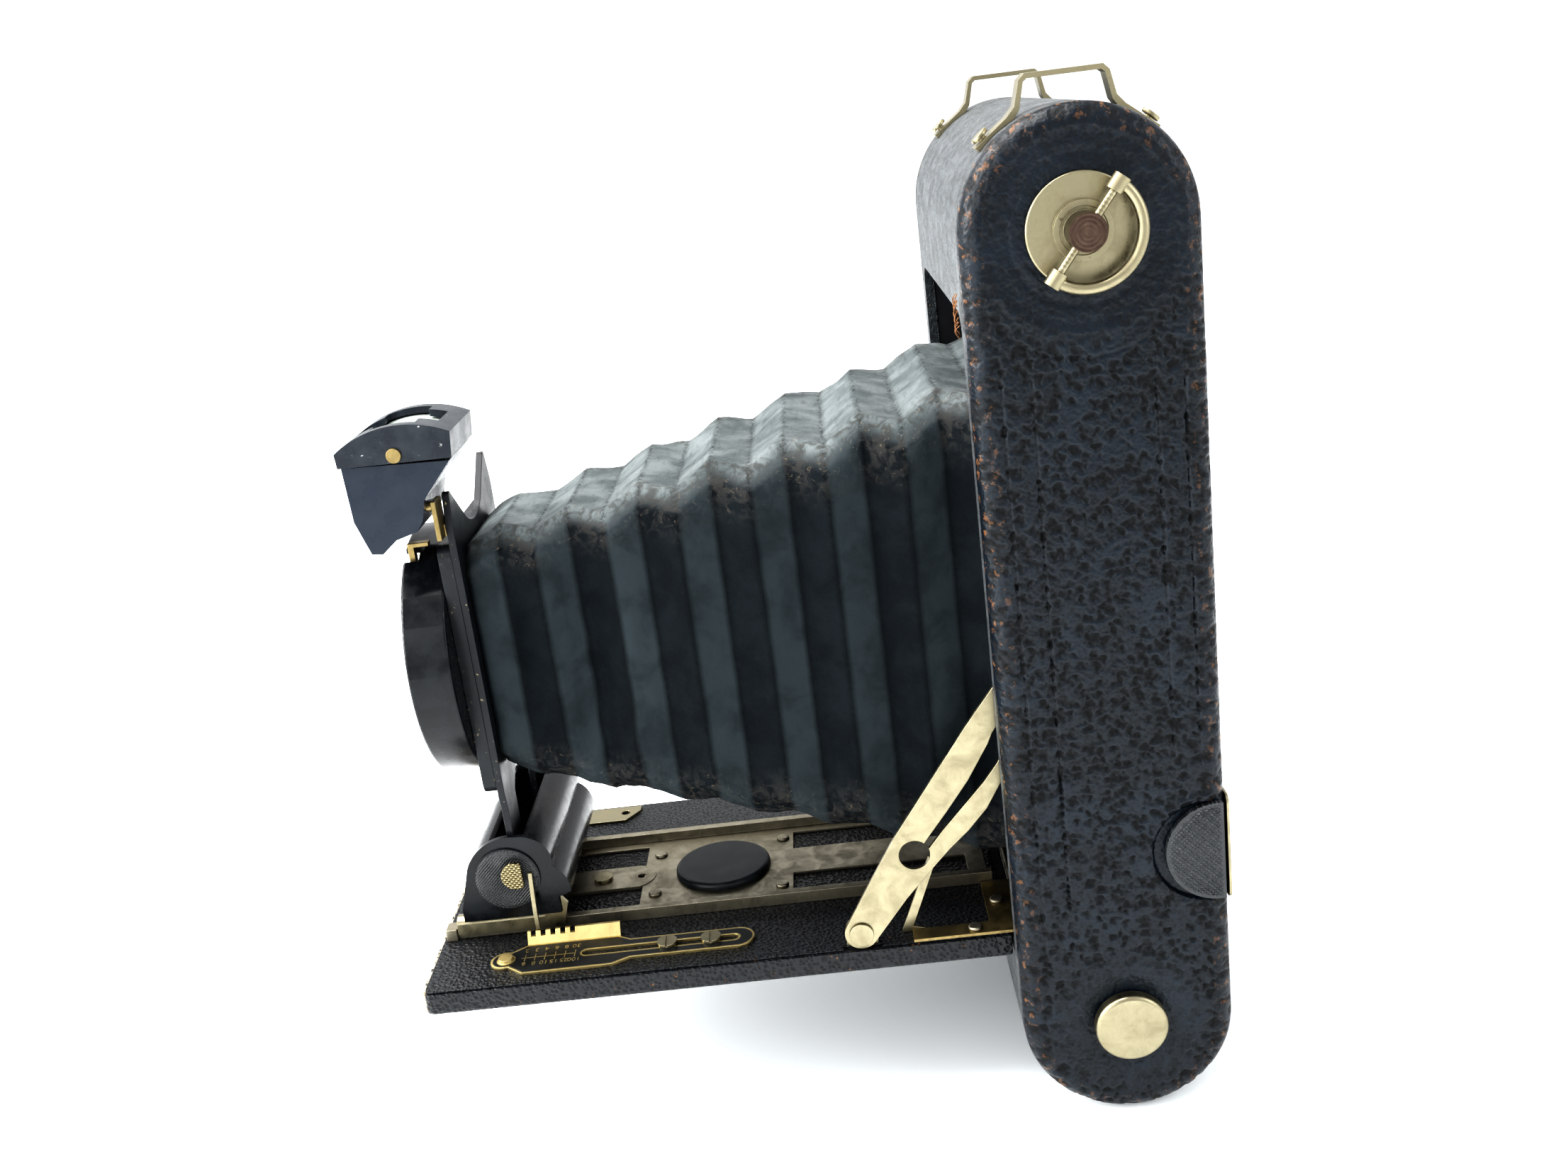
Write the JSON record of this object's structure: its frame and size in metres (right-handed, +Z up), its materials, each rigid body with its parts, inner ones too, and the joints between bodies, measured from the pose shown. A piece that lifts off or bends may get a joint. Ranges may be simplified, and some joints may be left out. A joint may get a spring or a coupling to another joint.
{
  "type": "folding roll-film camera",
  "caption": "Folding roll-film camera, open: leather body with rounded ends, drop bed, struts, pleated bellows, sliding front, round shutter, finder and folding winding key.",
  "frame": {"origin": "lowest point of the rounded lower end, at mid width and mid depth of the body", "axes": "+Z up the long axis of the body, -Y towards the lens, +X the winding-key side"},
  "size_m": [0.1306, 0.2009, 0.2478],
  "materials": {
    "leather": "pebbled, worn",
    "lining": "fine grain",
    "bellows_leather": "matte, creased",
    "nickel": "aged nickel plate",
    "brass": "aged",
    "black_enamel": "gloss black enamel",
    "inner_black": "flat black",
    "wood": "stained",
    "glass": "polished",
    "ruby": "polished"
  },
  "bodies": {
    "body": {"body_shell": "leather", "side_cap_near": "leather", "side_cap_far": "leather", "inner_frame": "inner_black", "key_escutcheon": "nickel", "strap_brackets": "nickel", "strap_rivets": "nickel", "body_hinge": "nickel", "strut_studs": "nickel"},
    "bellows_body": {"bellows": "bellows_leather"},
    "back": {"back_cover": "leather", "red_window": "ruby", "latch_plate": "nickel"},
    "latch": {"latch_button": "black_enamel"},
    "key": {"winding_shaft": "nickel"},
    "bail": {"key_bail": "nickel"},
    "takeup": {"takeup_spool": "wood"},
    "supply": {"supply_spool": "wood"},
    "roller_low": {"roller_lower": "nickel"},
    "roller_high": {"roller_upper": "nickel"},
    "knob_near": {"knob_near_lower": "nickel"},
    "knob_far_low": {"knob_far_lower": "nickel"},
    "knob_far_high": {"knob_far_upper": "nickel"},
    "bed": {"bed_plate": "leather", "bed_lining": "lining", "tripod_bush": "black_enamel", "track": "nickel", "bed_rivets": "nickel", "spring_tongue": "nickel", "bed_catch_plate": "nickel", "focus_scale": "brass", "bed_screws": "nickel", "hinge_leaves": "nickel", "strut_lugs": "nickel", "strut_springs": "nickel"},
    "strut_near_body": {"strut_near": "nickel"},
    "strut_far_body": {"strut_far": "nickel"},
    "standard": {"carriage": "black_enamel", "shoes": "nickel", "focus_pointer": "nickel", "front_upright": "black_enamel", "lens_board": "black_enamel", "shutter_case": "black_enamel", "shutter_face": "black_enamel", "lens_tube": "nickel", "shutter_blades": "inner_black", "iris": "inner_black", "lenses": "glass", "air_cylinders": "nickel", "finder_bracket": "brass"},
    "button_near": {"release_button_near": "nickel"},
    "button_far": {"release_button_far": "nickel"},
    "dial": {"speed_dial": "nickel"},
    "lever": {"release_lever": "brass"},
    "iris_ring": {"iris_lever": "nickel"},
    "finder": {"finder_body": "black_enamel", "finder_hood": "black_enamel", "finder_glass": "glass", "finder_objective": "brass", "finder_screws": "brass"}
  },
  "joints": [
    {"name": "back_lift", "type": "slide", "parent": "body", "child": "back", "axis": [0, 1, 0], "range_m": [0, 0.03]},
    {"name": "latch_slide", "type": "slide", "parent": "body", "child": "latch", "axis": [0, -1, 0], "range_m": [0, 0.0025], "stiffness_N_per_m": 300, "springref_m": -0.001},
    {"name": "key_turn", "type": "hinge", "parent": "body", "child": "key", "pos_m": [0.0656, 0, 0.2159], "axis": [1, 0, 0], "continuous": true},
    {"name": "bail_fold", "type": "hinge", "parent": "key", "child": "bail", "pos_m": [0.0656, 0, 0.2159], "axis": [0, -0.6157, -0.788], "range_deg": [0, 90]},
    {"name": "takeup_turn", "type": "hinge", "parent": "body", "child": "takeup", "pos_m": [0, 0, 0.2159], "axis": [1, 0, 0], "continuous": true},
    {"name": "supply_turn", "type": "hinge", "parent": "body", "child": "supply", "pos_m": [0, 0, 0.0254], "axis": [1, 0, 0], "continuous": true},
    {"name": "roller_lower_turn", "type": "hinge", "parent": "body", "child": "roller_low", "pos_m": [0, 0.0132, 0.039], "axis": [1, 0, 0], "continuous": true},
    {"name": "roller_upper_turn", "type": "hinge", "parent": "body", "child": "roller_high", "pos_m": [0, 0.0132, 0.2062], "axis": [1, 0, 0], "continuous": true},
    {"name": "knob_near_lower_pull", "type": "slide", "parent": "body", "child": "knob_near", "axis": [1, 0, 0], "range_m": [0, 0.008]},
    {"name": "knob_far_lower_pull", "type": "slide", "parent": "body", "child": "knob_far_low", "axis": [-1, 0, 0], "range_m": [0, 0.008]},
    {"name": "knob_far_upper_pull", "type": "slide", "parent": "body", "child": "knob_far_high", "axis": [-1, 0, 0], "range_m": [0, 0.008]},
    {"name": "bed_fold", "type": "hinge", "parent": "body", "child": "bed", "pos_m": [0, -0.022, 0.0435], "axis": [-1, 0, 0], "range_deg": [0, 8], "deforming": ["bellows"]},
    {"name": "strut_near_turn", "type": "hinge", "parent": "bed", "child": "strut_near_body", "pos_m": [0, -0.0627, 0.0505], "axis": [-1, 0, 0], "range_deg": [-6.5, 0]},
    {"name": "strut_far_turn", "type": "hinge", "parent": "bed", "child": "strut_far_body", "pos_m": [0, -0.0627, 0.0505], "axis": [-1, 0, 0], "range_deg": [-6.5, 0]},
    {"name": "bellows_tilt", "type": "hinge", "parent": "body", "child": "bellows_body", "pos_m": [0, 0.0149, 0.122], "axis": [-1, 0, 0], "range_deg": [0, 6.5]},
    {"name": "front_slide", "type": "slide", "parent": "bed", "child": "standard", "axis": [0, -1, 0], "range_m": [-0.15, 0], "deforming": ["bellows"]},
    {"name": "release_near_press", "type": "slide", "parent": "standard", "child": "button_near", "axis": [-1, 0, 0], "range_m": [0, 0.0012], "stiffness_N_per_m": 300, "springref_m": -0.001},
    {"name": "release_far_press", "type": "slide", "parent": "standard", "child": "button_far", "axis": [1, 0, 0], "range_m": [0, 0.0012], "stiffness_N_per_m": 300, "springref_m": -0.001},
    {"name": "speed_dial_turn", "type": "hinge", "parent": "standard", "child": "dial", "pos_m": [0, -0.164, 0.1456], "axis": [0, -1, 0], "range_deg": [0, 270]},
    {"name": "release_lever_turn", "type": "hinge", "parent": "standard", "child": "lever", "pos_m": [0.014, -0.164, 0.1446], "axis": [0, 1, 0], "range_deg": [0, 10], "stiffness_Nm_per_rad": 0.02, "springref_deg": -5.73},
    {"name": "iris_turn", "type": "hinge", "parent": "standard", "child": "iris_ring", "pos_m": [0, -0.1637, 0.1216], "axis": [0, 1, 0], "range_deg": [-25, 25]},
    {"name": "finder_swivel", "type": "hinge", "parent": "standard", "child": "finder", "pos_m": [0.026, -0.155, 0.166], "axis": [0, 1, 0], "range_deg": [0, 90]}
  ],
  "couplings": [
    {"joint": "takeup_turn", "follows": "key_turn", "ratio": 1},
    {"joint": "bellows_tilt", "follows": "bed_fold", "ratio": 0.775},
    {"joint": "strut_near_turn", "follows": "bed_fold", "ratio": -0.785},
    {"joint": "strut_far_turn", "follows": "bed_fold", "ratio": -0.785}
  ]
}
